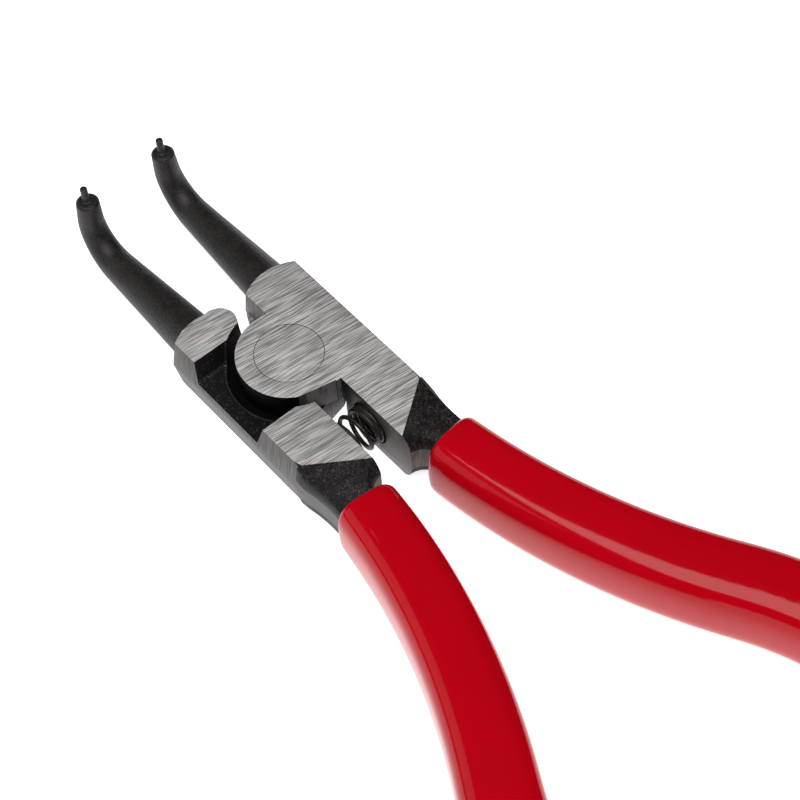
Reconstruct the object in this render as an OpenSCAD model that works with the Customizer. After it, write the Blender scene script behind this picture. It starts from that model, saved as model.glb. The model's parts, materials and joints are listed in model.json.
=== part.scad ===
// External circlip pliers with round jaws bent up square to the joint.
// Two drop-forged levers cross at a lap joint on one flush rivet. Each lever is jaw, joint half,
// neck and tang in one forging. A hardened pin stands in each jaw end, a coil spring sits in
// sockets between the two necks, and a plastic grip covers each tang.
// Millimetres. +X runs to the handles, +Y to the upper lever, +Z the way the tips point.
// The origin is on the pivot axis, in the plane of the joint's underside.

/* [Joint] */
// Thickness of the joint across its two ground faces
joint_t = 11.5; // [11.1:0.1:12.4]
// Pivot axis to the outer edge of a ground face
face_half_w = 13.1; // [12.7:0.1:14]
// How far the forged side and nose stand out at the parting line
side_bulge = 0.9; // [0.3:0.1:1.2]
// Pivot axis to the front end of the joint
nose_len = 16.3; // [15.8:0.1:17.5]
// Radius of the joint's front end, seen from above
nose_r = 9.6; // [9:0.1:11]
// Gap between the levers ahead of the pivot
front_gap = 4.5; // [4:0.1:5]
// Radius of each lever's lobe round the rivet
lobe_r = 9.2; // [8.6:0.1:9.6]
// Free ring round a lobe in the other lever's seat
seat_clear = 1.9; // [1.6:0.1:2.2]
// Pivot axis to the heel where the lobe meets the inner face
heel_x = 9.8; // [9.5:0.1:10]
// Slant of the flat behind the lobe, in degrees
heel_turn = 13; // [10:1:16]
// Running gap between the two lobes
lap_gap = 0.06; // [0.04:0.01:0.1]
// Pivot axis to each end wall of the side recess, at the face
recess_half = 9.25; // [8.8:0.05:9.6]
// Depth of the side recess below the face
recess_depth = 4.4; // [3.6:0.1:4.8]
// Draft of the recess end walls, in degrees
recess_draft = 16; // [8:1:20]
// Radius of the rounded inner end of the front nub
nub_r = 3.15; // [2.8:0.05:3.4]
// How far the front nub reaches in past the front gap
nub_out = 0.5; // [0.2:0.1:0.6]
// How far the nub's round end stands out at the parting line
nub_draft = 0.4; // [0.2:0.1:0.5]
// Radius of the round under the front of the joint
front_round_r = 5; // [3.5:0.1:6]

/* [Neck] */
// Gap between the ground inner faces behind the pivot
rear_gap = 6.3; // [6:0.1:7]
// Pivot axis to the rear end of the ground inner face
inner_end_x = 27.4; // [27:0.1:27.6]
// Radius of the hollow that runs from the inner face into the tang
neck_fillet_r = 3.2; // [3:0.05:3.4]
// Pivot axis to the rear end of a ground face at its outer edge
face_end_outer = 18.5; // [17.5:0.1:19.2]
// Pivot axis to the rear end of a ground face at its inner edge
face_end_inner = 25.5; // [24.8:0.1:25.8]
// Fall of the neck from the ground face to the grip, in degrees
neck_fall = 11.5; // [9:0.5:13]
// How far the unground side stands proud behind the ground side
raw_proud = 0.3; // [0.1:0.05:0.5]
// Pivot axis to the outer side of the neck at its narrowest, across the tool
neck_outer = 13.4; // [13.2:0.05:13.6]
// Pivot axis to that narrowest place, along the tool
hollow_x = 27; // [26:0.1:28]
// Radius of the long hollow in the outer side of the neck
hollow_r = 30; // [26:1:40]
// Height of the trimmed band round the sides of the neck
band_t = 5.2; // [4.6:0.1:6]

/* [Handles] */
// Pivot axis to the front of the grip, along X
handle_x = 29.9; // [29.6:0.05:31]
// Offset of the handle's centre line at the front of the grip
handle_y = 9; // [8.9:0.05:9.2]
// Height of the handle's centre line above the middle of the joint
handle_rise = 0.35; // [0:0.05:0.5]
// Splay of the handle at the front of the grip, in degrees
handle_turn = 6.2; // [5.5:0.1:7]
// Radius of the handle's long outward bow
bow_r = 128; // [115:1:160]
// Length of the outward bow
bow_len = 54; // [46:1:60]
// Radius of the turn that brings the handle's end back
tail_r = 60; // [45:1:90]
// Length of that turn to the end of the grip
tail_len = 24; // [18:1:32]
// Width of the tang under the grip
tang_w = 5.6; // [5:0.1:5.7]
// Thickness of the tang under the grip
tang_t = 7.4; // [6.6:0.1:7.6]
// Length of the tang under the grip
tang_len = 64; // [50:1:66]

/* [Grips] */
// Width of a grip at its front
grip_w = 11.5; // [10.4:0.1:11.8]
// Width of a grip towards its end
grip_end_w = 13.3; // [11.5:0.1:14]
// Thickness of a grip
grip_t = 14.2; // [12.5:0.1:15]
// Squareness of the grip section, where 2 is an ellipse
grip_square = 3.4; // [2.4:0.1:4.5]
// Radius of the rolled front edge of a grip
lip_r = 1.5; // [1:0.1:2.2]
// Length of the rounded end of a grip
dome_len = 6.5; // [4:0.5:8]
// Gap between a grip and its tang
sleeve_gap = 0.05; // [0.02:0.01:0.2]

/* [Jaws] */
// Offset of each jaw from the centre line, at the joint
jaw_y = 8.25; // [8.05:0.05:8.6]
// Offset of each jaw from the centre line, at its bend
bend_y = 8.7; // [8.4:0.05:9.2]
// Offset of each jaw's end and pin from the centre line
tip_y = 8.2; // [8:0.05:9]
// Height of the jaw's axis above the middle of the joint
jaw_rise = 1.15; // [0.8:0.05:1.3]
// Radius of the jaw at the joint
jaw_root_r = 4.2; // [4:0.1:4.5]
// Radius of the jaw at its end
jaw_end_r = 2.05; // [1.9:0.05:2.1]
// Pivot axis to the upturned end of the jaw
jaw_reach = 44.8; // [42:0.1:60]
// Radius of the bend on the jaw's axis
bend_r = 7.2; // [6:0.1:9]
// Height of the jaw's end face above the jaw's axis
jaw_up = 11.5; // [10:0.1:14]

/* [Tip pins] */
// Diameter of a tip pin
pin_d = 1.3; // [0.9:0.1:1.8]
// Length of a tip pin above the jaw's end face
pin_len = 3; // [2:0.1:4]
// Diameter of the pin's root in the jaw
pin_root_d = 1.9; // [1.85:0.05:2.1]
// Depth of that root in the jaw
pin_set = 4; // [3:0.1:5]
// Set of a tip pin forward of the jaw's centre
pin_forward = 0.3; // [0:0.05:0.6]

/* [Pivot rivet] */
// Diameter of the rivet's flush heads
head_d = 12; // [11:0.1:12.6]
// Diameter of the rivet's shank
shank_d = 8.8; // [8:0.1:9.2]
// Depth of each countersunk head
sink = 1.6; // [1.2:0.1:2]
// Running clearance of the rivet in the upper lever, on the radius
rivet_run = 0.05; // [0.03:0.01:0.08]
// Seat gap of rivet and pins in the lever that holds them, on the radius
seat_gap = 0.01; // [0.01:0.01:0.02]

/* [Spring] */
// Pivot axis to the spring's axis
spring_x = 16.9; // [16:0.1:18]
// Outside diameter of the spring
spring_d = 7.8; // [7:0.1:8]
// Diameter of the spring wire
wire_d = 0.8; // [0.6:0.05:0.85]
// Number of turns of the spring
turns = 7; // [5:0.5:9]
// Diameter of each spring socket
socket_d = 8.4; // [8.2:0.1:8.8]
// Depth of each spring socket below the ground inner face
socket_depth = 2.6; // [2:0.1:3]

/* [Hidden] */
$fn = 96;
half_t = joint_t / 2;
front_y = front_gap / 2;
rear_y = rear_gap / 2;
mid_half_w = face_half_w + side_bulge;
seat_r = lobe_r + seat_clear;
nose_x = nose_r - nose_len;
nose_y = (front_y + face_half_w) / 2;
nose_tip = nose_len + side_bulge;
floor_z = half_t - recess_depth;
shank_r = shank_d / 2;
head_r = head_d / 2;
// How far the round of the neck's shoulder would run on past the ground face
shoulder_over = 0.5;
shoulder_r = half_t - band_t / 2 + shoulder_over;
// How far the nub's round end stands back from the front of the nose
nub_inset = 0.15;
nub_x = nub_r + nub_inset - nose_len;
nub_y = front_y - nub_out + nub_r;
// Extra length by which a cut passes the surface it cuts
over = 1;
// Reach of the long cuts past the part
far = 40;
// How deep jaw and tang start inside the forged block
root_in = 3.5;
tang_in = 0.9;
// Small crossing that keeps the underside round from grazing the faces it meets
cross = 0.2;
// Edge break on the jaw's end face
tip_break = 0.35;
// Gap between a spring end and the floor of its socket
spring_end_gap = 0.03;
// Pitch of a closed end turn, in wire diameters
closed_pitch = 1.08;
// Turns that lie closed at each end of the spring
end_turns = 2;
// Angle at which the spring's wire begins, in degrees
start_turn = -72;
// Size of the tang at its end, as a share of its size at the front of the grip
tang_taper = 0.8;
// Squareness of the tang section
tang_square = 4;
// Arc of the grip's rounded end, in degrees, left just short of a point
dome_arc = 84;
jaw_sides = 32;
handle_sides = 28;
wire_sides = 6;
turn_steps = 16;

// The faces of a closed skin over rings of n points each, with a flat cap at both ends
function skin(rings, n) = concat(
    [[for (i = [0:n - 1]) i]],
    [for (k = [0:rings - 2], i = [0:n - 1])
        [k * n + i, (k + 1) * n + i, (k + 1) * n + (i + 1) % n]],
    [for (k = [0:rings - 2], i = [0:n - 1])
        [k * n + i, (k + 1) * n + (i + 1) % n, k * n + (i + 1) % n]],
    [[for (i = [n - 1:-1:0]) (rings - 1) * n + i]]
);

function power(v, p) = sign(v) * pow(abs(v), p);

// The handle's centre line: a long outward bow, then a shorter turn back
bow_end_turn = handle_turn + bow_len / bow_r * 180 / PI;
bow_end = [handle_x, handle_y] + bow_r * [sin(bow_end_turn) - sin(handle_turn),
                                          cos(handle_turn) - cos(bow_end_turn)];
handle_len = bow_len + tail_len;
function line_turn(s) = s <= bow_len
    ? handle_turn + s / bow_r * 180 / PI
    : bow_end_turn - (s - bow_len) / tail_r * 180 / PI;
function line_at(s) = s <= bow_len
    ? [handle_x, handle_y] + bow_r * [sin(line_turn(s)) - sin(handle_turn),
                                      cos(handle_turn) - cos(line_turn(s))]
    : bow_end + tail_r * [sin(bow_end_turn) - sin(line_turn(s)),
                          cos(line_turn(s)) - cos(bow_end_turn)];

// A rounded-rectangle ring square to the centre line
function handle_ring(s, w, t, square) = [
    for (i = [0:handle_sides - 1])
        let (a = 360 * (i + 0.5) / handle_sides)
        let (side = w / 2 * power(cos(a), 2 / square))
        [line_at(s)[0] - side * sin(line_turn(s)),
         line_at(s)[1] + side * cos(line_turn(s)),
         t / 2 * power(sin(a), 2 / square)]
];

function tang_scale(s) = 1 - (1 - tang_taper) * max(s, 0) / tang_len;
function tang_ring(s, gap) =
    handle_ring(s, tang_w * tang_scale(s) + 2 * gap, tang_t * tang_scale(s) + 2 * gap, tang_square);

module tang() {
    steps = 18;
    rings = [for (k = [0:steps]) tang_ring(-tang_in + (tang_len + tang_in) * k / steps, 0)];
    polyhedron([for (r = rings) each r], skin(len(rings), handle_sides));
}

// One closed skin: up the bore from its blind end, round the lip, then back over the outside
module grip() {
    bore_steps = 14;
    lip_steps = 4;
    body_steps = 24;
    dome_steps = 6;
    body_len = handle_len - lip_r - dome_len;
    blind = tang_len + sleeve_gap;
    width = function(s) grip_w + (grip_end_w - grip_w) * min(1, s / bow_len);
    bore = [for (k = [0:bore_steps]) tang_ring(blind * (1 - k / bore_steps), sleeve_gap)];
    lip = [for (k = [0:lip_steps - 1])
        let (a = 90 * k / lip_steps)
        handle_ring(lip_r * (1 - cos(a)), width(0) - 2 * lip_r * (1 - sin(a)),
                    grip_t - 2 * lip_r * (1 - sin(a)), grip_square)];
    body = [for (k = [0:body_steps])
        let (s = lip_r + body_len * k / body_steps)
        handle_ring(s, width(s), grip_t, grip_square)];
    dome = [for (k = [1:dome_steps])
        let (a = dome_arc * k / dome_steps)
        let (s = handle_len - dome_len + dome_len * sin(a))
        handle_ring(s, width(s) * cos(a), grip_t * cos(a), grip_square)];
    rings = concat(bore, lip, body, dome);
    polyhedron([for (r = rings) each r], skin(len(rings), handle_sides));
}

// The jaw's axis: level, then a quarter bend, then straight up
level_len = jaw_reach - bend_r - nose_len;
bend_len = bend_r * PI / 2;
rise_len = jaw_up - bend_r;
jaw_len = level_len + bend_len + rise_len;
function jaw_turn(s) = min(90, max(0, (s - level_len) / bend_len * 90));
function jaw_run(s) = min(s, level_len) + bend_r * sin(jaw_turn(s));
function jaw_lift(s) = bend_r * (1 - cos(jaw_turn(s))) + max(0, s - level_len - bend_len);
function jaw_at(s) = [
    -nose_len - jaw_run(s),
    jaw_y + (bend_y - jaw_y) * jaw_run(s) / (jaw_reach - nose_len)
        + (tip_y - bend_y) * jaw_lift(s) / jaw_up,
    jaw_rise + jaw_lift(s)
];
function jaw_r(s) = jaw_root_r + (jaw_end_r - jaw_root_r) * s / jaw_len;
function jaw_ring(s, r) = [
    for (i = [0:jaw_sides - 1])
        let (a = -360 * i / jaw_sides)
        jaw_at(s) + r * [sin(a) * sin(jaw_turn(s)), cos(a), sin(a) * cos(jaw_turn(s))]
];

module jaw() {
    level_steps = 4;
    bend_steps = 14;
    stations = concat(
        [-root_in],
        [for (k = [0:level_steps - 1]) level_len * k / level_steps],
        [for (k = [0:bend_steps]) level_len + bend_len * k / bend_steps],
        [jaw_len - tip_break]
    );
    rings = concat([for (s = stations) jaw_ring(s, jaw_r(s))],
                   [jaw_ring(jaw_len, jaw_r(jaw_len) - tip_break)]);
    difference() {
        polyhedron([for (r = rings) each r], skin(len(rings), jaw_sides));
        pin_root(seat_gap, over);
    }
}

// The thicker root of a tip pin, flush with the jaw's end face; its bore is the same with a gap
module pin_root(gap, above) {
    translate([-jaw_reach - pin_forward, tip_y, jaw_rise + jaw_up - pin_set - gap])
        cylinder(d = pin_root_d + 2 * gap, h = pin_set + gap + above);
}

module tip_pin() {
    pin_root(0, 0);
    translate([-jaw_reach - pin_forward, tip_y, jaw_rise + jaw_up - over])
        cylinder(d = pin_d, h = pin_len + over);
}

// Plan of the upper lever's block: straight from the nose back to the neck, and the lobe
module block_plan() {
    translate([-nose_tip, front_y])
        square([nose_tip + heel_x, mid_half_w - front_y]);
    translate([0, rear_y])
        square([handle_x + over, mid_half_w + raw_proud - rear_y]);
    difference() {
        union() {
            circle(lobe_r);
            translate([0, -front_y])
                square([heel_x + over, front_y + rear_y]);
        }
        translate([heel_x, rear_y])
            rotate(-heel_turn)
                translate([0, -far])
                    square([far, 2 * far]);
    }
}

// The block's side from one station to another, its parting line proud between the two faces
module side_run(from, to, proud) {
    translate([from, 0, 0])
        rotate([90, 0, 90])
            linear_extrude(to - from)
                polygon([
                    [-far, -half_t],
                    [face_half_w + proud, -half_t],
                    [mid_half_w + proud, 0],
                    [face_half_w + proud, half_t],
                    [-far, half_t]
                ]);
}

// The block's round front, proud at the parting line, the lobe and all that lies behind them
module nose_form() {
    end_z = half_t + over;
    end_r = nose_r - side_bulge * over / half_t;
    translate([nose_x, -far, -end_z])
        cube([2 * far, 2 * far, 2 * end_z]);
    cylinder(r = lobe_r + over, h = 2 * end_z, center = true);
    translate([nose_x, nose_y, 0])
        rotate_extrude()
            polygon([[0, -end_z], [end_r, -end_z], [nose_r + side_bulge, 0], [end_r, end_z], [0, end_z]]);
}

// Open space under the lobe, with drafted end walls, running out through the side
module side_recess() {
    run = tan(recess_draft);
    foot = recess_half - recess_depth * run;
    mouth = recess_half + over * run;
    translate([0, far, 0])
        rotate([90, 0, 0])
            linear_extrude(far)
                polygon([
                    [-mouth, -half_t - over],
                    [mouth, -half_t - over],
                    [foot, -floor_z],
                    [-foot, -floor_z]
                ]);
}

// The square inner end of the front nub, cut away to make room for its round end
module nub_corner() {
    translate([-nose_tip - over, front_y - over, -half_t - over])
        cube([nose_tip + over - recess_half, nub_y - front_y + over, half_t + over]);
}

module nub_end() {
    translate([nub_x, nub_y, -half_t])
        cylinder(r1 = nub_r, r2 = nub_r + nub_draft, h = half_t);
}

// Hole for the rivet, countersunk in the face that the lobe carries
module rivet_hole(gap) {
    flare = (head_r - shank_r) / sink;
    translate([0, 0, -half_t - over])
        cylinder(r = shank_r + gap, h = joint_t + 2 * over);
    translate([0, 0, half_t - sink])
        cylinder(r1 = shank_r + gap, r2 = head_r + gap + flare * over, h = sink + over);
}

module spring_socket() {
    translate([spring_x, rear_y + socket_depth, 0])
        rotate([90, 0, 0])
            cylinder(d = socket_d, h = socket_depth + over);
}

// A cutter that leaves an upright band with a rounded shoulder above and below it
module band_cutter(r) {
    rotate_extrude() {
        translate([0, -half_t - over])
            square([r, joint_t + 2 * over]);
        for (side = [0, 1])
            mirror([0, side])
                difference() {
                    translate([0, band_t / 2])
                        square([r + shoulder_r, half_t + over - band_t / 2]);
                    translate([r + shoulder_r, band_t / 2])
                        circle(shoulder_r);
                }
    }
}

// Neck cuts: inner hollow, outer hollow, and the end against the grip
module neck_cuts() {
    translate([inner_end_x + neck_fillet_r, rear_y, 0])
        band_cutter(neck_fillet_r);
    translate([hollow_x, neck_outer + hollow_r, 0])
        band_cutter(hollow_r);
    translate([line_at(-sleeve_gap)[0], line_at(-sleeve_gap)[1], -half_t - over])
        rotate([0, 0, handle_turn])
            translate([0, -far, 0])
                cube([far, 2 * far, joint_t + 2 * over]);
}

// Sloping top of the neck
module neck_slope() {
    fall_turn = atan2(face_end_inner - face_end_outer, face_half_w - rear_y);
    translate([face_end_outer, face_half_w, half_t])
        rotate([0, neck_fall, fall_turn])
            translate([0, -far, 0])
                cube([far, 2 * far, far]);
}

// Rounds the lower front corner of the block, below the jaw
module front_round() {
    difference() {
        translate([-nose_tip - over, -far, -half_t - over])
            cube([front_round_r + over - cross, 2 * far, front_round_r + over - cross]);
        translate([front_round_r - nose_tip - cross, 0, front_round_r - half_t - cross])
            rotate([90, 0, 0])
                cylinder(r = front_round_r, h = 4 * far, center = true);
    }
}

// One lever's forged block, lobe uppermost, with its rivet hole and spring socket. The side
// that will lie below the jaw is rounded in front: 0 for the one opposite the lobe's face, 1
// for that face.
module block(rivet_gap, below) {
    difference() {
        union() {
            difference() {
                intersection() {
                    translate([0, 0, -half_t])
                        linear_extrude(joint_t)
                            block_plan();
                    union() {
                        side_run(-nose_tip - over, face_end_outer, 0);
                        side_run(face_end_outer, handle_x + 2 * over, raw_proud);
                    }
                    nose_form();
                }
                nub_corner();
            }
            nub_end();
        }
        mirror([0, 0, below])
            front_round();
        translate([0, 0, -half_t - over])
            cylinder(r = seat_r, h = half_t + over + lap_gap / 2);
        side_recess();
        rivet_hole(rivet_gap);
        spring_socket();
        neck_cuts();
        neck_slope();
        mirror([0, 0, 1])
            neck_slope();
    }
}

module upper_lever() {
    color([0.34, 0.33, 0.33])
        translate([0, 0, half_t]) {
            block(rivet_run, 0);
            jaw();
            translate([0, 0, handle_rise])
                tang();
        }
}

module lower_lever() {
    color([0.36, 0.35, 0.35])
        translate([0, 0, half_t]) {
            rotate([180, 0, 0])
                block(seat_gap, 1);
            mirror([0, 1, 0]) {
                jaw();
                translate([0, 0, handle_rise])
                    tang();
            }
        }
}

module pivot_rivet() {
    color([0.62, 0.61, 0.6])
        rotate_extrude()
            polygon([
                [0, 0],
                [head_r, 0],
                [shank_r, sink],
                [shank_r, joint_t - sink],
                [head_r, joint_t],
                [0, joint_t]
            ]);
}

// A helix whose end turns lie closed
module return_spring() {
    coil_r = (spring_d - wire_d) / 2;
    closed_rise = closed_pitch * wire_d;
    rise = 2 * (rear_y + socket_depth - spring_end_gap) - wire_d;
    open_rise = (rise - 2 * closed_rise * end_turns) / (turns - 2 * end_turns);
    along = function(t) closed_rise * min(t, end_turns)
        + open_rise * max(0, min(t, turns - end_turns) - end_turns)
        + closed_rise * max(0, t - turns + end_turns) - rise / 2;
    steps = turns * turn_steps;
    points = [
        for (k = [0:steps], i = [0:wire_sides - 1])
            let (a = start_turn + 360 * k / turn_steps)
            let (b = 360 * i / wire_sides)
            let (r = coil_r + wire_d / 2 * cos(b))
            [r * cos(a), along(k / turn_steps) + wire_d / 2 * sin(b), -r * sin(a)]
    ];
    color([0.12, 0.12, 0.12])
        translate([spring_x, 0, half_t])
            polyhedron(points, skin(steps + 1, wire_sides));
}

module upper_tip_pin() {
    color([0.2, 0.2, 0.2])
        translate([0, 0, half_t])
            tip_pin();
}

module lower_tip_pin() {
    color([0.2, 0.2, 0.2])
        translate([0, 0, half_t])
            mirror([0, 1, 0])
                tip_pin();
}

module upper_grip() {
    color([0.7, 0.02, 0.08])
        translate([0, 0, half_t + handle_rise])
            grip();
}

module lower_grip() {
    color([0.7, 0.02, 0.08])
        translate([0, 0, half_t + handle_rise])
            mirror([0, 1, 0])
                grip();
}

lower_lever();
upper_lever();
pivot_rivet();
return_spring();
lower_tip_pin();
upper_tip_pin();
lower_grip();
upper_grip();
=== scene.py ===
import json
import math

import bpy
from mathutils import Matrix, Vector

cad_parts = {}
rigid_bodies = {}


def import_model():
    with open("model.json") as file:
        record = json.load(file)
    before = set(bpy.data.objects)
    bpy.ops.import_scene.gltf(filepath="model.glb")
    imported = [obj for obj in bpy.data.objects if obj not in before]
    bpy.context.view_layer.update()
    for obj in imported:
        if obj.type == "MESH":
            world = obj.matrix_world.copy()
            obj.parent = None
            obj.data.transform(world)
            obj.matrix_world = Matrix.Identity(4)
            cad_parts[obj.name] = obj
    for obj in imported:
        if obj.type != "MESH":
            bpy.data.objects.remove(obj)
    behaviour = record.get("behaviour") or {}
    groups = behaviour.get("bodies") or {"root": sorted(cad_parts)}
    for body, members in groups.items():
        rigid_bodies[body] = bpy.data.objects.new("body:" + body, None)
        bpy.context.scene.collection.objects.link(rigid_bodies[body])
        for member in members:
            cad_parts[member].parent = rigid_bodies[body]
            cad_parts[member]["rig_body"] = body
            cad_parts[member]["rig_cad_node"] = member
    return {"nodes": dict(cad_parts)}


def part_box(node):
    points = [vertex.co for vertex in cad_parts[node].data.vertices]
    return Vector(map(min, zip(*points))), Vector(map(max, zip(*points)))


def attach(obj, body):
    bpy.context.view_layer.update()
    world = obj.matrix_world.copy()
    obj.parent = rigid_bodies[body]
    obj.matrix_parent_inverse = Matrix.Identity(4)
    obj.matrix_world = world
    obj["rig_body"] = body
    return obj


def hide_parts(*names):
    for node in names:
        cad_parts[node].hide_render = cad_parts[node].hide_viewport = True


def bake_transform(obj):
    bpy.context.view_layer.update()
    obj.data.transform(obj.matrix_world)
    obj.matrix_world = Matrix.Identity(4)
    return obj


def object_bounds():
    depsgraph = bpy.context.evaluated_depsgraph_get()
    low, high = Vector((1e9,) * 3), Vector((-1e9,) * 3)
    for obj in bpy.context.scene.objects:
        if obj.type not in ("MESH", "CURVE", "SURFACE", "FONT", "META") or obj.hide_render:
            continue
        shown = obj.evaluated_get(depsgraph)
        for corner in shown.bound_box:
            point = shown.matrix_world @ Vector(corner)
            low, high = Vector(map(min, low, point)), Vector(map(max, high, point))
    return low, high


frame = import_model()
cad_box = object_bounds()

# The two levers: drop forgings of tool steel, blackened all over, then surface-ground on the
# joint faces, the nose, the outer sides and the inner faces. Each is one piece from jaw to tang, and
# the two lap on the rivet with the upper lever's lobe on top.
MM = 0.001
JOINT_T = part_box("pivot_rivet")[1][2]
FACE_HALF_W = 13.1 * MM
FACE_END = 18.5 * MM
INNER_END = 27.4 * MM
GRIP_FRONT = 30.2 * MM
REAR_Y = 3.15 * MM
FRONT_Y = 2.25 * MM
HEEL_FROM, HEEL_TO = 8.5 * MM, 12.5 * MM
NOSE_TIP, NOSE, NOSE_BACK = -17.3 * MM, -16.3 * MM, -12.0 * MM
NUB_BACK, NUB_Y = -9.3 * MM, 4.9 * MM
LOBE_R, LOBE_SLACK = 9.2 * MM, 0.1 * MM
SEAT_R = 11.1 * MM
LAP_HALF, LAP_GAP = 9.4 * MM, 0.06 * MM
SPECK = 0.01 * MM


class Tone:
    """A value at each point of a surface, as a socket in a material."""

    COLOUR_A, COLOUR_B, COLOUR_OUT = 6, 7, 2

    def __init__(self, tree, socket=None):
        self.tree = tree
        self.socket = socket

    def make(self, kind, settings=None, sockets=None, out=0):
        node = self.tree.nodes.new(kind)
        for name, value in (settings or {}).items():
            setattr(node, name, value)
        for name, value in (sockets or {}).items():
            if isinstance(value, Tone):
                self.tree.links.new(value.socket, node.inputs[name])
            else:
                node.inputs[name].default_value = value
        return Tone(self.tree, node.outputs[out])

    def maths(self, operation, a, b):
        return self.make("ShaderNodeMath", {"operation": operation}, {0: a, 1: b})

    def __add__(self, other):
        return self.maths("ADD", self, other)

    def __radd__(self, other):
        return self.maths("ADD", other, self)

    def __sub__(self, other):
        return self.maths("SUBTRACT", self, other)

    def __rsub__(self, other):
        return self.maths("SUBTRACT", other, self)

    def __mul__(self, other):
        return self.maths("MULTIPLY", self, other)

    def __rmul__(self, other):
        return self.maths("MULTIPLY", other, self)

    def __abs__(self):
        return self.maths("ABSOLUTE", self, 0.0)

    def noise(self, place, to_metre, detail):
        return self.make("ShaderNodeTexNoise", {}, {"Vector": place, "Scale": to_metre, "Detail": detail})

    def streaks(self, place, to_metre, detail, turn=0.0):
        turned = self.make("ShaderNodeMapping", {}, {"Vector": place, "Rotation": (0.0, 0.0, turn)})
        stretched = self.make("ShaderNodeMapping", {}, {"Vector": turned, "Scale": to_metre})
        return self.noise(stretched, 1.0, detail)

    def between(self, mask, low, high):
        low, high = (end if isinstance(end, Tone) else (*end, 1.0) for end in (low, high))
        colours = {"Factor": mask, self.COLOUR_A: low, self.COLOUR_B: high}
        return self.make("ShaderNodeMix", {"data_type": "RGBA"}, colours, out=self.COLOUR_OUT)

    def step(self, value, low, high):
        return self.make("ShaderNodeMapRange", {"interpolation_type": "SMOOTHSTEP"},
                         {"Value": value, "From Min": low, "From Max": high})

    def bump(self, height, strength, distance):
        return self.make("ShaderNodeBump", {}, {"Height": height, "Strength": strength, "Distance": distance})


def mixed(first, second, share):
    return first * share + second * (1.0 - share)


def finish_of(name, fixed):
    material = bpy.data.materials.new(name)
    material.use_nodes = True
    surface = material.node_tree.nodes["Principled BSDF"]
    for socket, value in fixed.items():
        surface.inputs[socket].default_value = value
    tone = Tone(material.node_tree)
    place = tone.make("ShaderNodeTexCoord", {}, {}, out="Object")
    return material, surface, tone, place


def feed(tone, surface, sockets):
    for name, value in sockets.items():
        tone.tree.links.new(value.socket, surface.inputs[name])


# Wheel marks across the face, about a tenth of a millimetre apart. The wheel's path is a little
# askew, and the scales are counts to the metre across and along it.
WHEEL_SLANT = math.radians(6.5)
FINE_MARKS = (15000.0, 330.0, 330.0)
BROAD_MARKS = (7800.0, 220.0, 220.0)
FACE_CLOUDS = 160.0
FINE_SHARE, MARK_SHARE = 0.4, 0.9
MARK_FROM, MARK_TO = 0.42, 0.58
MARK_DEPTH, MARK_STRENGTH, MARK_ROUGH = 0.03 * MM, 0.35, 0.1


def ground_steel(name, dark, light, roughness):
    material, surface, tone, place = finish_of(name, {"Metallic": 0.28})
    fine = tone.streaks(place, FINE_MARKS, 0.0, WHEEL_SLANT)
    broad = tone.streaks(place, BROAD_MARKS, 0.0, WHEEL_SLANT)
    cloud = tone.noise(place, FACE_CLOUDS, 2.0)
    marks = tone.step(mixed(fine, broad, FINE_SHARE), MARK_FROM, MARK_TO)
    feed(tone, surface, {
        "Base Color": tone.between(mixed(marks, cloud, MARK_SHARE), dark, light),
        "Roughness": roughness + marks * MARK_ROUGH,
        "Normal": tone.bump(marks, MARK_STRENGTH, MARK_DEPTH),
    })
    return material


# Scale from the forging under a black finish, pitted, with small worn specks
SCALE_GRAIN, SCALE_PATCH, WORN_SPECKS = 2400.0, 420.0, 3000.0
PIT_SHARE, PIT_FROM, PIT_TO = 0.7, 0.42, 0.6
SPECK_SHARE, SPECK_FROM, SPECK_TO = 0.75, 0.54, 0.66
WORN_STEEL = (0.16, 0.155, 0.15)
GRAIN_ROUGH = 0.16
SCALE_SHARE, SCALE_STRENGTH, SCALE_DEPTH = 0.6, 0.7, 0.25 * MM


def black_forging(name, dark, light, roughness, worn, gloss):
    material, surface, tone, place = finish_of(name, {"Metallic": 0.0, "Specular IOR Level": gloss})
    grain = tone.noise(place, SCALE_GRAIN, 4.0)
    patch = tone.noise(place, SCALE_PATCH, 3.0)
    dots = tone.noise(place, WORN_SPECKS, 2.0)
    pits = tone.step(mixed(grain, patch, PIT_SHARE), PIT_FROM, PIT_TO)
    speck = tone.step(mixed(dots, patch, SPECK_SHARE), SPECK_FROM, SPECK_TO)
    feed(tone, surface, {
        "Base Color": tone.between(speck * worn, tone.between(pits, dark, light), WORN_STEEL),
        "Roughness": roughness + grain * GRAIN_ROUGH,
        "Normal": tone.bump(mixed(grain, patch, SCALE_SHARE), SCALE_STRENGTH, SCALE_DEPTH),
    })
    return material


# Black above and below, bare where the forging's flash was trimmed off along the parting line
TRIM_HALF, TRIM_RAGGED = 2.0 * MM, 0.4 * MM
TRIM_STRENGTH, TRIM_DEPTH = 0.5, 0.2 * MM


def trimmed_forging(name, black, bare, roughness):
    material, surface, tone, place = finish_of(name, {"Specular IOR Level": 0.25})
    height = tone.make("ShaderNodeSeparateXYZ", {}, {"Vector": place}, out="Z")
    grain = tone.noise(place, SCALE_GRAIN, 4.0)
    from_line = abs(height - JOINT_T / 2) + grain * TRIM_RAGGED
    trimmed = 1.0 - tone.step(from_line, TRIM_HALF, TRIM_HALF + TRIM_RAGGED)
    feed(tone, surface, {
        "Base Color": tone.between(trimmed, black, bare),
        "Metallic": trimmed,
        "Roughness": roughness + grain * GRAIN_ROUGH,
        "Normal": tone.bump(grain, TRIM_STRENGTH, TRIM_DEPTH),
    })
    return material


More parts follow.
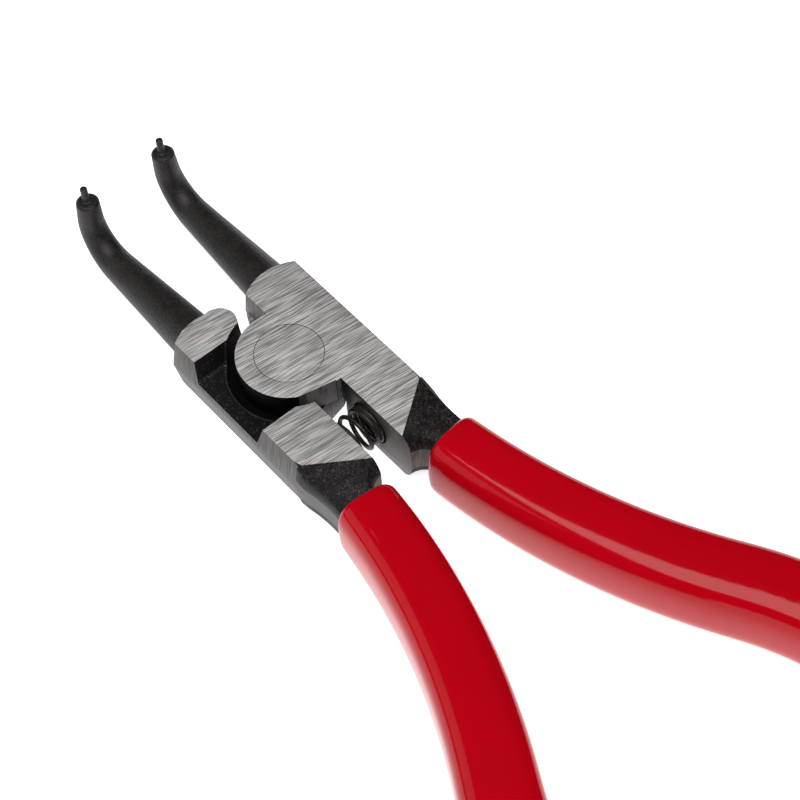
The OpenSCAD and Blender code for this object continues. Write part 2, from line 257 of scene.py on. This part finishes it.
# Black in the lap between the levers, with lighter lines along the foot of the end wall and on the rim of the
# seat: partly wear rubbed into the finish, partly a painted glint where those edges would catch the light
# and on the rim of the seat
LAP_GRAIN = 2600.0
WALL_FOOT, FOOT_HALF, FOOT_RAGGED = 8.0 * MM, 0.1 * MM, 0.4 * MM
FOOT_FROM, FOOT_TO = 0.4, 0.6
DUST_FROM, DUST_TO, DUST_SHARE = 0.56, 0.7, 0.3
RIM_WIDTH, RIM_SHARE = 0.3 * MM, 0.4
LAP_STRENGTH, LAP_DEPTH = 0.6, 0.2 * MM


def lap_black(name, black, rub_and_glint):
    material, surface, tone, place = finish_of(name, {"Specular IOR Level": 0.08, "Roughness": 0.6})
    along = tone.make("ShaderNodeSeparateXYZ", {}, {"Vector": place}, out="X")
    plan = tone.make("ShaderNodeVectorMath", {"operation": "MULTIPLY"}, {0: place, 1: (1.0, 1.0, 0.0)})
    from_pivot = tone.make("ShaderNodeVectorMath", {"operation": "LENGTH"}, {0: plan}, out="Value")
    grain = tone.noise(place, LAP_GRAIN, 3.0)
    from_foot = abs(along + WALL_FOOT) + grain * FOOT_RAGGED
    foot = 1.0 - tone.step(from_foot, FOOT_HALF, FOOT_HALF + FOOT_RAGGED)
    rim = 1.0 - tone.step(abs(from_pivot - SEAT_R), RIM_WIDTH / 2, RIM_WIDTH)
    dust = tone.step(grain, DUST_FROM, DUST_TO)
    # The foot and rim lines are partly rubbed wear and partly painted glint; the dust is wear
    worn = foot * tone.step(grain, FOOT_FROM, FOOT_TO) + dust * DUST_SHARE + rim * grain * RIM_SHARE
    feed(tone, surface, {
        "Base Color": tone.between(worn, black, rub_and_glint),
        "Normal": tone.bump(grain, LAP_STRENGTH, LAP_DEPTH),
    })
    return material


# Lighter towards the neck and black towards the heel, along a ragged front, with faint lines on the lighter
# part
FADE_START, FADE_FULL, FADE_RAGGED = 13.0 * MM, 24.0 * MM, 5.0 * MM
FADE_CLOUDS = 500.0
INNER_LINES = (5200.0, 330.0, 330.0)
FADE_SHARE, INNER_LINE_STRENGTH = 0.6, 0.3


def heel_to_neck_fade(name, black, bare):
    material, surface, tone, place = finish_of(name, {"Metallic": 0.35, "Roughness": 0.5})
    along = tone.make("ShaderNodeSeparateXYZ", {}, {"Vector": place}, out="X")
    cloud = tone.noise(place, FADE_CLOUDS, 3.0)
    lines = tone.streaks(place, INNER_LINES, 2.0)
    lightened = tone.step(along + cloud * FADE_RAGGED, FADE_START, FADE_FULL)
    feed(tone, surface, {
        "Base Color": tone.between(lightened * (FADE_SHARE + lines * FADE_SHARE), black, bare),
        "Normal": tone.bump(lines, INNER_LINE_STRENGTH, MARK_DEPTH),
    })
    return material


ground_face = ground_steel(
    "ground_face", dark=(0.19, 0.181, 0.1775), light=(0.585, 0.562, 0.553), roughness=0.55)
# Painted shade: a darker copy of the same ground steel for the outer sides, hollows, heels, lower shoulder
# and lower nose
ground_side_shaded = ground_steel(
    "ground_side_shaded", dark=(0.046, 0.0434, 0.042), light=(0.133, 0.1262, 0.1222), roughness=0.5)
# Painted light: a lighter copy of the same ground steel for the upper lever's nub, shoulder and nose
ground_front_lit = ground_steel(
    "ground_front_lit", dark=(0.115, 0.1075, 0.104), light=(0.35, 0.3305, 0.32), roughness=0.5)
forged_black = black_forging(
    "forged_black", dark=(0.003, 0.0022, 0.0022), light=(0.02, 0.016, 0.016),
    roughness=0.5, worn=0.32, gloss=0.15)
jaw_black = black_forging(
    "jaw_black", dark=(0.009, 0.0074, 0.007), light=(0.021, 0.0172, 0.0165),
    roughness=0.38, worn=0.05, gloss=0.3)
trimmed_side = trimmed_forging(
    "trimmed_side", black=(0.008, 0.0078, 0.0078), bare=(0.12, 0.115, 0.112), roughness=0.45)
inner_lap = lap_black("inner_lap", black=(0.006, 0.0052, 0.0053), rub_and_glint=(0.1, 0.098, 0.095))
# Painted shade: a near-black copy of the lap finish for the lobe's side wall and the seat floor, standing in
# for the deep shade under the lobe
lobe_wall_painted_shade = lap_black("lobe_wall_painted_shade", black=(0.0008, 0.0008, 0.0008), rub_and_glint=(0.004, 0.004, 0.004))
inner_fade = heel_to_neck_fade("inner_fade", black=(0.006, 0.0056, 0.0052), bare=(0.15, 0.1425, 0.138))

MERGE_REACH = 0.0005 * MM
FLAT_ANGLE = 0.3
EDGE_BREAK, EDGE_ANGLE, EDGE_STEPS = 0.22 * MM, 28.0, 2


# A merged copy of a solid, ready to take smooth shading and broken edges
def merged_copy(node, name):
    bpy.ops.object.select_all(action="DESELECT")
    source = frame["nodes"][node]
    source.select_set(True)
    bpy.context.view_layer.objects.active = source
    bpy.ops.object.duplicate()
    piece = bpy.context.view_layer.objects.active
    bpy.ops.object.parent_clear(type="CLEAR_KEEP_TRANSFORM")
    piece.name = name
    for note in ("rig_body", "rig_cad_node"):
        del piece[note]
    if piece.data.has_custom_normals:
        bpy.ops.mesh.customdata_custom_splitnormals_clear()
    piece.data.materials.clear()
    bpy.ops.object.mode_set(mode="EDIT")
    bpy.ops.mesh.select_all(action="SELECT")
    bpy.ops.mesh.remove_doubles(threshold=MERGE_REACH)
    bpy.ops.mesh.dissolve_limited(angle_limit=math.radians(FLAT_ANGLE))
    bpy.ops.object.mode_set(mode="OBJECT")
    return piece


def break_edges(piece, width, angle):
    bevel = piece.modifiers.new("broken_edges", "BEVEL")
    bevel.width = width
    bevel.segments = EDGE_STEPS
    bevel.limit_method = "ANGLE"
    bevel.angle_limit = math.radians(angle)
    bevel.use_clamp_overlap = True
    bpy.ops.object.modifier_apply(modifier=bevel.name)


def smooth(piece, angle):
    bpy.ops.object.select_all(action="DESELECT")
    piece.select_set(True)
    bpy.context.view_layer.objects.active = piece
    bpy.ops.object.shade_smooth_by_angle(angle=math.radians(angle))


# How squarely a face has to look one way: its normal's share along that axis
SQUARE, OUTWARD, MAINLY, PARTLY = 0.999, 0.95, 0.9, 0.5
STEEP, HOLLOWED, UPRIGHT = 0.2, 0.05, 0.01


# The finish of one face of a lever, from where it lies and which way it looks. Faces turned from the light
# take the darker ground copy as painted shade, and the upper lever's front faces take the lighter copy as
# painted light
def face_finish(face, half, way):
    x, y, z = face.center
    y = y * way
    ahead, out, up = face.normal.x, face.normal.y * way, abs(face.normal.z)
    from_pivot = math.hypot(x, y)
    from_face = min(z, JOINT_T - z)
    upright, steep = up < UPRIGHT, up < STEEP
    at_neck = FACE_END < x < GRIP_FRONT
    at_nub = half == "upper" and NOSE_TIP < x < NUB_BACK
    outer_side = out > OUTWARD and y > FACE_HALF_W - SPECK and x < FACE_END
    hollow = upright and out < HOLLOWED and INNER_END - SPECK < x < GRIP_FRONT and y > REAR_Y
    shoulder = out < -SQUARE and x < 0 and abs(y - FRONT_Y) < SPECK
    heel = upright and ahead > MAINLY and HEEL_FROM < x < HEEL_TO and abs(y) < REAR_Y
    nose = ahead < -PARTLY and steep and NOSE_TIP < x < NOSE_BACK and y > FRONT_Y
    nub = at_nub and (y < FRONT_Y or (y < NUB_Y and steep))
    on_lobe = upright and LOBE_R - LOBE_SLACK < from_pivot < LOBE_R + SPECK
    seat_floor = up > SQUARE and abs(z - JOINT_T / 2) < LAP_GAP
    if up > SQUARE and min(abs(z), abs(z - JOINT_T)) < SPECK:
        return ground_face
    if out < -SQUARE and x > 0 and abs(y - REAR_Y) < SPECK:
        return inner_fade
    # Painted light: the upper lever's nub, shoulder and nose take the lighter ground copy, where the lower
    # lever's faces take the darker one
    if nub or (half == "upper" and (shoulder or nose)):
        return ground_front_lit
    # Painted shade: these faces take the darker copy of the ground steel
    if outer_side or hollow or shoulder or heel or nose:
        return ground_side_shaded
    if out > MAINLY and y > FACE_HALF_W and at_neck:
        return trimmed_side
    # Painted shade: the lobe's side wall and the seat floor under it take the near-black copy
    if on_lobe or seat_floor:
        return lobe_wall_painted_shade
    if abs(x) < LAP_HALF and from_face > SPECK and y > -SEAT_R and not upright:
        return inner_lap
    return jaw_black if x < NOSE else forged_black


finishes = (forged_black, ground_face, ground_side_shaded, jaw_black, trimmed_side, inner_lap, lobe_wall_painted_shade,
            inner_fade, ground_front_lit)
for half, way in (("lower", -1.0), ("upper", 1.0)):
    lever = merged_copy(half + "_lever", half + "_lever_forging")
    for finish in finishes:
        lever.data.materials.append(finish)
    for face in lever.data.polygons:
        face.material_index = finishes.index(face_finish(face, half, way))
    # The nubs' ledges each stand back by half the gap of the lap, so that the two never rub
    for corner in lever.data.vertices:
        x, y, z = corner.co
        if x < NUB_BACK and y * way < NUB_Y and abs(z - JOINT_T / 2) < SPECK:
            corner.co.z = z - way * LAP_GAP / 2
    break_edges(lever, EDGE_BREAK, EDGE_ANGLE)
    smooth(lever, EDGE_ANGLE)
    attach(lever, half + "_half")
    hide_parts(half + "_lever")

# The pivot: a steel rivet, countersunk into both levers and ground off flush with the joint
# faces, so that only a hairline circle shows.
RIM_BREAK = 0.1 * MM
rivet = merged_copy("pivot_rivet", "flush_rivet")
rivet.data.materials.append(ground_face)
break_edges(rivet, RIM_BREAK, EDGE_ANGLE)
smooth(rivet, EDGE_ANGLE)
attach(rivet, "lower_half")
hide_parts("pivot_rivet")

# The tip pins: hardened steel wire, pressed into the jaw ends and darkened with them. Their
# free ends have a lightly broken edge.
PIN_BREAK, PIN_EDGE_ANGLE, PIN_SMOOTH_ANGLE = 0.12 * MM, 40.0, 35.0
pin_steel = black_forging(
    "pin_steel", dark=(0.014, 0.014, 0.014), light=(0.035, 0.034, 0.033),
    roughness=0.3, worn=0.0, gloss=0.3)
for half in ("lower", "upper"):
    pin = merged_copy(half + "_tip_pin", half + "_pin")
    pin.data.materials.append(pin_steel)
    break_edges(pin, PIN_BREAK, PIN_EDGE_ANGLE)
    smooth(pin, PIN_SMOOTH_ANGLE)
    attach(pin, half + "_half")
    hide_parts(half + "_tip_pin")

# The return spring: black spring wire, wound with four turns close together at the upper neck and
# two at the lower, loose in the two sockets. On the real pliers its open turns shorten as the handles close;
# here the wire is one fixed shape.
WIRE = 0.8 * MM
CLOSED_RISE = 0.865 * MM
LOWER_CLOSED, OPEN_TURNS, UPPER_CLOSED = 2.0, 2.5, 4.0
FIRST_TURN = math.radians(30.0)
TURN_STEPS, WIRE_RESOLUTION, WIRE_SMOOTH_ANGLE = 36, 3, 60.0
low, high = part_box("return_spring")
middle = (Vector(low) + Vector(high)) / 2
coil_r = (high[0] - low[0] - WIRE) / 2
lower_end = low[1] + WIRE / 2 + CLOSED_RISE * LOWER_CLOSED
upper_end = high[1] - WIRE / 2 - CLOSED_RISE * UPPER_CLOSED
open_rise = (upper_end - lower_end) / OPEN_TURNS


def along_spring(turn):
    if turn < LOWER_CLOSED:
        return lower_end - CLOSED_RISE * (LOWER_CLOSED - turn)
    if turn < LOWER_CLOSED + OPEN_TURNS:
        return lower_end + open_rise * (turn - LOWER_CLOSED)
    return upper_end + CLOSED_RISE * (turn - LOWER_CLOSED - OPEN_TURNS)


wire = bpy.data.curves.new("coil_spring", "CURVE")
wire.dimensions = "3D"
wire.bevel_depth = WIRE / 2
wire.bevel_resolution = WIRE_RESOLUTION
wire.use_fill_caps = True
steps = int((LOWER_CLOSED + OPEN_TURNS + UPPER_CLOSED) * TURN_STEPS)
path = wire.splines.new("POLY")
path.points.add(steps)
for step, point in enumerate(path.points):
    wound = step / TURN_STEPS
    angle = FIRST_TURN + math.tau * wound
    across = middle.x + coil_r * math.cos(angle)
    height = middle.z - coil_r * math.sin(angle)
    point.co = (across, along_spring(wound), height, 1.0)
spring = bpy.data.objects.new("coil_spring", wire)
bpy.context.scene.collection.objects.link(spring)
bpy.ops.object.select_all(action="DESELECT")
spring.select_set(True)
bpy.context.view_layer.objects.active = spring
bpy.ops.object.convert(target="MESH")
spring_wire = black_forging(
    "spring_wire", dark=(0.01, 0.0085, 0.0075), light=(0.024, 0.02, 0.017),
    roughness=0.22, worn=0.0, gloss=0.3)
spring.data.materials.append(spring_wire)
smooth(spring, WIRE_SMOOTH_ANGLE)
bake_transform(spring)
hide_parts("return_spring")

# The grips: red plastic dipped or moulded over the tangs, with a rolled front edge, a smooth
# glossy skin and the faint waviness of a soft thick coat.
COAT_WAVES, SKIN_GRAIN = 55.0, 900.0
DEEP_RED, BRIGHT_RED = (0.43, 0.0004, 0.006), (0.5, 0.0008, 0.008)
SKIN_ROUGH = 0.08
WAVE_SHARE, WAVE_STRENGTH, WAVE_DEPTH = 0.9, 0.12, 0.6 * MM
GRIP_SMOOTH_ANGLE = 50.0


def red_plastic(name):
    material, surface, tone, place = finish_of(name, {"Specular IOR Level": 0.23, "IOR": 1.5})
    wave = tone.noise(place, COAT_WAVES, 2.0)
    skin = tone.noise(place, SKIN_GRAIN, 2.0)
    feed(tone, surface, {
        "Base Color": tone.between(wave, DEEP_RED, BRIGHT_RED),
        "Roughness": SKIN_ROUGH + skin * SKIN_ROUGH,
        "Normal": tone.bump(mixed(wave, skin, WAVE_SHARE), WAVE_STRENGTH, WAVE_DEPTH),
    })
    return material


grip_red = red_plastic("grip_red")
for half in ("lower", "upper"):
    grip = merged_copy(half + "_grip", half + "_grip_skin")
    grip.data.materials.append(grip_red)
    softer = grip.modifiers.new("soft_form", "SUBSURF")
    softer.levels = softer.render_levels = 1
    bpy.ops.object.modifier_apply(modifier=softer.name)
    smooth(grip, GRIP_SMOOTH_ANGLE)
    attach(grip, half + "_half")
    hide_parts(half + "_grip")

# The table: a plain white sheet, lit through from below so that shadows stay faint, with a soft
# box overhead and a long dim panel to the left that draws a strip along the rounded edges.
FLOOR_Z = cad_box[0][2]
FLOOR_SIZE = 6.0
FLOOR_GLOW = 0.72
PAPER_CLOUDS = 3.0
PAPER_GREY, PAPER_WHITE = (0.9, 0.9, 0.9), (0.93, 0.93, 0.93)
WHITE = (1.0, 1.0, 1.0, 1.0)
ROOM_LIGHT = 0.03
bpy.ops.object.select_all(action="DESELECT")
bpy.ops.mesh.primitive_plane_add(size=FLOOR_SIZE, location=(0.0, 0.0, FLOOR_Z))
floor = bpy.context.view_layer.objects.active
floor.name = "white_sheet"
paper, surface, tone, place = finish_of("white_paper", {
    "Roughness": 0.9,
    "Specular IOR Level": 0.1,
    "Emission Color": WHITE,
    "Emission Strength": FLOOR_GLOW,
})
cloud = tone.noise(place, PAPER_CLOUDS, 3.0)
feed(tone, surface, {"Base Color": tone.between(cloud, PAPER_GREY, PAPER_WHITE)})
floor.data.materials.append(paper)

room = bpy.data.worlds.new("studio_room")
room.use_nodes = True
backdrop = room.node_tree.nodes["Background"]
backdrop.inputs["Color"].default_value = WHITE
backdrop.inputs["Strength"].default_value = ROOM_LIGHT
bpy.context.scene.world = room


def soft_box(name, place, width, height, power):
    light = bpy.data.lights.new(name, "AREA")
    light.shape = "RECTANGLE"
    light.size, light.size_y = width, height
    light.energy = power
    lamp = bpy.data.objects.new(name, light)
    bpy.context.scene.collection.objects.link(lamp)
    lamp.location = place
    lamp.rotation_euler = (-Vector(place)).to_track_quat("-Z", "Y").to_euler()


soft_box("overhead_box", place=(0.26, -0.2, 1.2), width=1.1, height=1.1, power=17.0)
soft_box("left_panel", place=(-0.46, -0.68, 0.5), width=0.9, height=0.7, power=1.75)

# The camera: a short telephoto looking down on the joint from the left of the handles. The
# pivot sits left of and above the middle of a square picture.
YAW, RISE, ROLL = math.radians(52.8), math.radians(55.59), math.radians(4.29)
SENSOR = 36.0
NEAREST = 10.0 * MM
PICTURE = 800.0
FOCUS = 2050.0
PIVOT_ACROSS, PIVOT_DOWN = 289.03, 352.73
PIVOT_DEPTH = 344.7 * MM
view = bpy.data.cameras.new("studio_camera")
view.sensor_width = SENSOR
view.lens = SENSOR * FOCUS / PICTURE
view.clip_start = NEAREST
camera = bpy.data.objects.new("studio_camera", view)
bpy.context.scene.collection.objects.link(camera)
tilt = math.pi / 2 - RISE
turn = Matrix.Rotation(YAW, 3, "Z") @ Matrix.Rotation(tilt, 3, "X") @ Matrix.Rotation(-ROLL, 3, "Z")
to_pixel = Vector((PIVOT_ACROSS - PICTURE / 2, PICTURE / 2 - PIVOT_DOWN, -FOCUS))
to_pivot = to_pixel * (PIVOT_DEPTH / FOCUS)
pivot_top = Vector((0.0, 0.0, JOINT_T))
camera.matrix_world = Matrix.Translation(pivot_top - turn @ to_pivot) @ turn.to_4x4()
bpy.context.scene.camera = camera
bpy.context.scene.view_settings.view_transform = "Standard"
